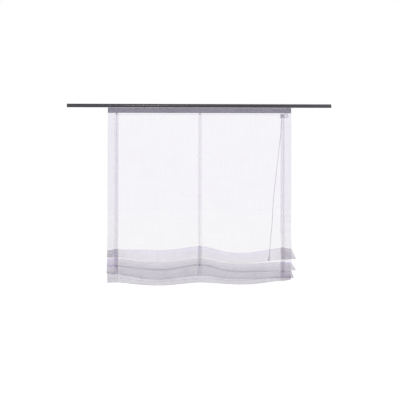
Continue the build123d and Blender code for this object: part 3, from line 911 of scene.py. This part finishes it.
def make_weave_group():
    """Warp and weft threads with slubs: a height for bump, a cover for alpha and a tone."""
    inputs = {
        "Place": ("NodeSocketVector", None),
        "Threads": ("NodeSocketFloat", 1500.0),
        "Slub": ("NodeSocketFloat", 0.5),
    }
    outputs = {name: "NodeSocketFloat" for name in ("Height", "Cover", "Tone")}
    g, given, result = new_group("woven_threads", inputs, outputs)
    split = g.add("ShaderNodeSeparateXYZ", inputs={0: given.outputs["Place"]})
    waves = []
    for axis in (0, 1):
        turn = g.sum_of(split.outputs[axis], given.outputs["Threads"], "MULTIPLY")
        wave = g.add("ShaderNodeMath", operation="SINE", inputs={0: turn}).outputs[0]
        waves.append(g.sum_of(wave, 0.5, "MULTIPLY"))
    height = g.sum_of(waves[0], waves[1], "MULTIPLY")
    streaks = []
    for stretch in ((900, 14, 1), (14, 900, 1)):
        stretching = {"Vector": given.outputs["Place"], "Scale": stretch}
        mapping = g.add("ShaderNodeMapping", inputs=stretching)
        streaks.append(g.noise_of(mapping.outputs[0], 0.35, 3.0))
    slub = g.ranged(g.sum_of(streaks[0], streaks[1]), 0.75, 1.25, -1.0, 1.0)
    drift = g.ranged(g.noise_of(given.outputs["Place"], 9.0, 4.0), 0.3, 0.7, -1.0, 1.0)
    slubs = g.sum_of(slub, given.outputs["Slub"], "MULTIPLY")
    uneven = g.sum_of(slubs, g.sum_of(drift, 0.35, "MULTIPLY"))
    cover = g.sum_of(g.sum_of(uneven, 0.30, "MULTIPLY"), 1.0)
    g.tree.links.new(g.sum_of(height, g.sum_of(slub, 0.4, "MULTIPLY")), result.inputs["Height"])
    g.tree.links.new(cover, result.inputs["Cover"])
    g.tree.links.new(g.ranged(uneven, -1.2, 1.2, 0.0, 1.0), result.inputs["Tone"])
    return g.tree


def make_grain_group():
    """Fine uneven tone and height for moulded or drawn surfaces, scaled by Stretch."""
    inputs = {
        "Scale": ("NodeSocketFloat", 300.0),
        "Stretch": ("NodeSocketVector", (1.0, 1.0, 1.0)),
    }
    outputs = {name: "NodeSocketFloat" for name in ("Height", "Tone", "Roughness")}
    g, given, result = new_group("surface_grain", inputs, outputs)
    place_of = g.add("ShaderNodeTexCoord").outputs["Object"]
    stretching = {"Vector": place_of, "Scale": given.outputs["Stretch"]}
    mapping = g.add("ShaderNodeMapping", inputs=stretching)
    fine = g.noise_of(mapping.outputs[0], given.outputs["Scale"])
    coarse_scale = g.sum_of(given.outputs["Scale"], 0.08, "MULTIPLY")
    coarse = g.noise_of(mapping.outputs[0], coarse_scale)
    tone = g.sum_of(g.sum_of(fine, 0.4, "MULTIPLY"), g.sum_of(coarse, 0.6, "MULTIPLY"))
    g.tree.links.new(fine, result.inputs["Height"])
    g.tree.links.new(tone, result.inputs["Tone"])
    g.tree.links.new(g.ranged(tone, 0.3, 0.7, -0.08, 0.08), result.inputs["Roughness"])
    return g.tree


def group_node(shader, tree, **inputs):
    node = shader.add("ShaderNodeGroup")
    node.node_tree = tree
    for key, value in inputs.items():
        if isinstance(value, bpy.types.NodeSocket):
            shader.tree.links.new(value, node.inputs[key])
        else:
            node.inputs[key].default_value = value
    return node


def fabric(name, colour, weave, threads, cover, slub, bunching=1.0, dense_colour=None):
    """Woven cloth. Cover is the share of light it stops at one surface, and bunching how far that
    grows with the density attribute in the folds, as painted shade, and as painted light where
    bunching is negative; there the colour turns to dense_colour."""
    m = NodeMaker(name)
    uv = m.add("ShaderNodeUVMap", uv_map="flat").outputs[0]
    woven = group_node(m, weave, Place=uv, Threads=threads, Slub=slub)
    crowd_and_shade = m.add("ShaderNodeAttribute", attribute_name="crowding_and_shade").outputs["Fac"]
    hue = m.mixed(m.ranged(crowd_and_shade, 1.0, 1.12, 0.0, 1.0), rgba(colour), rgba(dense_colour or colour))
    uneven = m.ranged(woven.outputs["Tone"], 0.0, 1.0, 0.84, 1.12)
    shade = m.add("ShaderNodeCombineXYZ", inputs={0: uneven, 1: uneven, 2: uneven}).outputs[0]
    multiply = m.add("ShaderNodeVectorMath", operation="MULTIPLY", inputs={0: hue, 1: shade})
    base = multiply.outputs[0]
    bump = m.add("ShaderNodeBump", inputs={"Height": woven.outputs["Height"], "Strength": 0.25})
    bump.inputs["Distance"].default_value = 0.0002
    # Painted shade: the cover grows with the density attribute, darker towards the bottom of the
    # stack
    bunched = m.sum_of(m.sum_of(crowd_and_shade, 1.0, "SUBTRACT"), bunching, "MULTIPLY")
    alpha = m.sum_of(woven.outputs["Cover"], cover, "MULTIPLY")
    alpha = m.sum_of(alpha, m.sum_of(bunched, 1.0), "MULTIPLY")
    inputs = {"Base Color": base, "Alpha": alpha, "Normal": bump.outputs[0]}
    principled = m.add("ShaderNodeBsdfPrincipled", inputs=inputs)
    principled.inputs["Roughness"].default_value = 0.85
    principled.inputs["Specular IOR Level"].default_value = 0.2
    principled.inputs["Sheen Weight"].default_value = 0.12
    return m.finish(principled.outputs[0])


def solid_finish(
    name, colour, grain, roughness, metallic=0.0, stretch=(1, 1, 1), scale=300.0, bump=0.1
):
    """Metal or moulded plastic with an uneven grain."""
    m = NodeMaker(name)
    texture = group_node(m, grain, Scale=scale, Stretch=stretch)
    base = m.mixed(texture.outputs["Tone"], shaded(colour, 0.75), shaded(colour, 1.25))
    rough = m.sum_of(texture.outputs["Roughness"], roughness)
    relief = m.add("ShaderNodeBump", inputs={"Height": texture.outputs["Height"], "Strength": bump})
    relief.inputs["Distance"].default_value = 0.0001
    inputs = {"Base Color": base, "Roughness": rough, "Normal": relief.outputs[0]}
    principled = m.add("ShaderNodeBsdfPrincipled", inputs=inputs)
    principled.inputs["Metallic"].default_value = metallic
    return m.finish(principled.outputs[0])


def clouded_plastic(name, colour, grain, cover):
    """Clear moulded plastic that lets most of what is behind it through."""
    m = NodeMaker(name)
    texture = group_node(m, grain, Scale=900.0, Stretch=(1, 1, 1))
    base = m.mixed(texture.outputs["Tone"], shaded(colour, 0.8), shaded(colour, 1.2))
    rough = m.sum_of(texture.outputs["Roughness"], 0.35)
    body = m.add("ShaderNodeBsdfPrincipled", inputs={"Base Color": base, "Roughness": rough})
    body.inputs["Alpha"].default_value = cover
    return m.finish(body.outputs[0])


def dress(made, material):
    """Gives an object one material in place of any it has."""
    made.data.materials.clear()
    made.data.materials.append(material)
    return made


# Scene


def make_camera():
    """The photograph's view: level, almost straight on, with the horizon above the middle."""
    data = bpy.data.cameras.new("camera")
    data.sensor_width = SENSOR_WIDTH
    data.lens = SENSOR_WIDTH * FOCAL_PIXELS / IMAGE_PIXELS
    data.shift_x = (IMAGE_PIXELS / 2 - MIDDLE_PIXEL) / IMAGE_PIXELS
    data.shift_y = (HORIZON_PIXEL - IMAGE_PIXELS / 2) / IMAGE_PIXELS
    camera = linked("camera", data)
    turn = math.radians(CAMERA_AZIMUTH)
    back = Vector((math.sin(turn), -math.cos(turn), 0)) * CAMERA_DISTANCE
    upright = Matrix.Rotation(turn, 4, "Z") @ Matrix.Rotation(math.pi / 2, 4, "X")
    rolled = upright @ Matrix.Rotation(math.radians(CAMERA_ROLL), 4, "Z")
    camera.matrix_world = Matrix.Translation(back + Vector((0, 0, CAMERA_HEIGHT))) @ rolled
    bpy.context.scene.camera = camera


def make_lamp(name, spot, aim, size, power, colour=(1, 1, 1)):
    """A soft rectangular lamp at spot, facing aim."""
    data = bpy.data.lights.new(name, "AREA")
    data.shape = "RECTANGLE"
    data.size, data.size_y = size
    data.energy = power
    data.color = colour
    lamp = linked(name, data)
    lamp.location = spot
    lamp.rotation_mode = "QUATERNION"
    lamp.rotation_quaternion = (Vector(aim) - Vector(spot)).to_track_quat("-Z", "Y")


def seen_white(shader):
    """A share that is 1 on camera, mirror and transmission rays, to pick pure white."""
    path = shader.add("ShaderNodeLightPath")
    share = shader.sum_of(path.outputs["Is Camera Ray"], path.outputs["Is Glossy Ray"], "MAXIMUM")
    return shader.sum_of(share, path.outputs["Is Transmission Ray"], "MAXIMUM")


def make_world():
    """Even pale light all round, which is pure white where the camera sees it."""
    world = bpy.data.worlds.new("studio")
    world.use_nodes = True
    bpy.context.scene.world = world
    world.node_tree.nodes.clear()
    w = NodeMaker("studio", world.node_tree)
    lit = w.add("ShaderNodeBackground", inputs={"Color": (1, 1, 1, 1), "Strength": WORLD_STRENGTH})
    white = w.add("ShaderNodeBackground", inputs={"Color": (1, 1, 1, 1), "Strength": 1.0})
    choice = {0: seen_white(w), 1: lit.outputs[0], 2: white.outputs[0]}
    mixed = w.add("ShaderNodeMixShader", inputs=choice)
    output = w.add("ShaderNodeOutputWorld")
    w.tree.links.new(mixed.outputs[0], output.inputs["Surface"])


def make_floor():
    """A pale studio floor well below the hanging blind, seen white but for the blind's shadow."""
    mesh = bpy.data.meshes.new("studio_floor")
    signs = ((-1, -1), (1, -1), (1, 1), (-1, 1))
    corners = [(x * FLOOR_REACH, y * FLOOR_REACH, FLOOR_Z) for x, y in signs]
    mesh.from_pydata(corners, [], [(0, 1, 2, 3)])
    floor = linked("studio_floor", mesh)
    m = NodeMaker("pale_floor")
    matt = m.add("ShaderNodeBsdfDiffuse", inputs={"Color": (0.82, 0.82, 0.82, 1)})
    lift = m.add("ShaderNodeEmission", inputs={"Color": (1, 1, 1, 1), "Strength": FLOOR_LIFT})
    lifted = m.add("ShaderNodeAddShader", inputs={0: matt.outputs[0], 1: lift.outputs[0]})
    choice = {0: seen_white(m), 1: matt.outputs[0], 2: lifted.outputs[0]}
    mixed = m.add("ShaderNodeMixShader", inputs=choice)
    dress(floor, m.finish(mixed.outputs[0]))


def make_lamps():
    make_lamp("key_lamp", (-1.9, -3.6, 1.6), (0, 0, -0.5), (1.4, 1.4), 38)
    make_lamp("fill_lamp", (1.7, -3.2, 0.7), (0, 0, -0.5), (1.3, 1.3), 26, (1.0, 0.99, 0.95))
    make_lamp("rod_lamp", (-0.32, -4.6, 0.9), (-0.29, 0, 0), (0.22, 0.5), 24)


def make_fabrics(weave):
    """The materials of the woven pieces."""
    return {
        "voile": fabric("voile", VOILE, weave, 9000.0, 0.066, 0.6, dense_colour=VOILE_FOLDS),
        "lift_tape": fabric("lift_tape_weave", LIFT_WEAVE, weave, 9000.0, 0.062, 0.3, -0.5),
        # The header tape's grey is painted shade
        "header_tape": fabric("header_weave", HEADER_IN_SHADE, weave, 4500.0, 1.0, 0.0),
    }


def make_finishes(grain):
    """The materials of the moulded, metal and corded pieces, by the name of their slot."""
    steel = solid_finish("steel", STEEL, grain, 0.3, 1.0, (1, 0.05, 1), 2500.0)
    drawn = (0.02, 1, 1)
    return {
        "rod": solid_finish("anthracite", ANTHRACITE, grain, 0.22, 0.75, drawn, 1600.0, 0.02),
        "end_cap": solid_finish("cap_black", CAP_BLACK, grain, 0.4, scale=900.0),
        "white_plastic": solid_finish("white_plastic", WHITE_PLASTIC, grain, 0.45, scale=900.0),
        "clear_plastic": clouded_plastic("clouded_small_plastic", MILKY_PLASTIC, grain, 0.30),
        "lock_plastic": clouded_plastic("clouded_lock_plastic", LOCK_PLASTIC, grain, 0.20),
        "steel": steel,
        "brass": solid_finish("brass", BRASS, grain, 0.35, 1.0, (1, 0.05, 1), 2500.0),
        "weight": steel,
        "cord": solid_finish("cord_braid", CORD, grain, 0.8, scale=2500.0, bump=0.4),
    }


def dress_solids(frame, finishes):
    """Gives the CAD nodes their materials, by the slot that each has in the record."""
    slots = {part["node"]: part["material_slot"] for part in frame["record"]["subparts"]}
    for name, node in frame["nodes"].items():
        if slots[name] in finishes:
            dress(node, finishes[slots[name]])


def hang_cloth(fabrics, cord_braid):
    """The voile, its lift tapes and its lift cords, from the header down to the stack."""
    cloth = dress(make_cloth(), fabrics["voile"])
    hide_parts("cloth")
    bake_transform(cloth)
    for index, (side, x) in enumerate(zip(SIDES, (-TAPE_X, 0.0, TAPE_X))):
        tape = dress(make_lift_tape(f"woven_tape_{side}", x), fabrics["lift_tape"])
        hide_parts(f"lift_tape_{side}")
        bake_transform(tape)
        line = lift_cord_points(index)
        cord = dress(tube(f"braided_cord_{side}", line, CORD_RADIUS), cord_braid)
        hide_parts(f"lift_cord_{side}")
        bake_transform(cord)
    return cloth


def sew_rings(finishes):
    """Six rows of rings, and the beads below the last row."""
    ring_tree = make_ring_tree()
    plastic = {"Material": finishes["white_plastic"]}
    for row in range(6):
        points = [ring_centre(x, z) for x, z in zip(RING_COLUMNS, ring_heights(row))]
        rings = grown(f"moulded_rings_{row + 1}", points, [], ring_tree, plastic)
        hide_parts(f"ring_row_{row + 1}")
        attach(rings, f"ring_row_{row + 1}" if row < 3 else "stack")
    for index, side in enumerate(SIDES):
        x, y = CORD_COLUMNS[index], CORD_DEPTHS[index]
        low = ring_heights(5)[index] - RING_HALF - BEAD_GAP - BEAD_HEIGHT
        bead = dress(make_bead(f"turned_bead_{side}", x, y, low), finishes["clear_plastic"])
        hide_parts(f"cord_bead_{side}")
        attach(bead, "stack")


def sew_header(header_weave, thread):
    """The header tape, and every row of stitches."""
    header_tape = dress(make_header_tape(), header_weave)
    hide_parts("header_tape")
    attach(header_tape, "rail")
    stitch_tree = make_stitch_tree()
    header_lines = [level_stitches(1), level_stitches(STRAIGHT_COUNTS[0] - 1)]
    header_stitches = stitch_line("header_stitches", header_lines, stitch_tree, thread)
    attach(header_stitches, "rail")
    seams = stitch_line("tape_and_hem_stitches", upright_stitches(), stitch_tree, thread)
    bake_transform(seams)
    hem_lines = [level_stitches(row_of(27) - 2)]
    hem_stitches = stitch_line("hem_stitches", hem_lines, stitch_tree, thread)
    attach(hem_stitches, "stack")


def hang_pull(line, finishes):
    """The pull cord and the pull on its end."""
    pull = dress(tube("braided_pull_cord", line, PULL_RADIUS, 12), finishes["cord"])
    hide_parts("pull_cord")
    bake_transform(pull)
    pull_end = dress(make_pull(), finishes["clear_plastic"])
    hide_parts("cord_pull")
    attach(pull_end, "pull")
    return pull, pull_end


def main():
    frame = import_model()
    scene = bpy.context.scene
    scene.view_settings.view_transform = "Standard"
    scene.cycles.transparent_max_bounces = 64
    make_camera()
    make_world()
    make_floor()
    make_lamps()

    grain = make_grain_group()
    fabrics = make_fabrics(make_weave_group())
    thread = solid_finish("sewing_thread", THREAD, grain, 0.7, scale=4000.0, bump=0.3)
    finishes = make_finishes(grain)
    dress_solids(frame, finishes | {"header_tape": fabrics["header_tape"]})

    cloth = hang_cloth(fabrics, finishes["cord"])
    sew_rings(finishes)
    sew_header(fabrics["header_tape"], thread)
    line = pull_cord_points()
    pull, pull_end = hang_pull(line, finishes)


main()
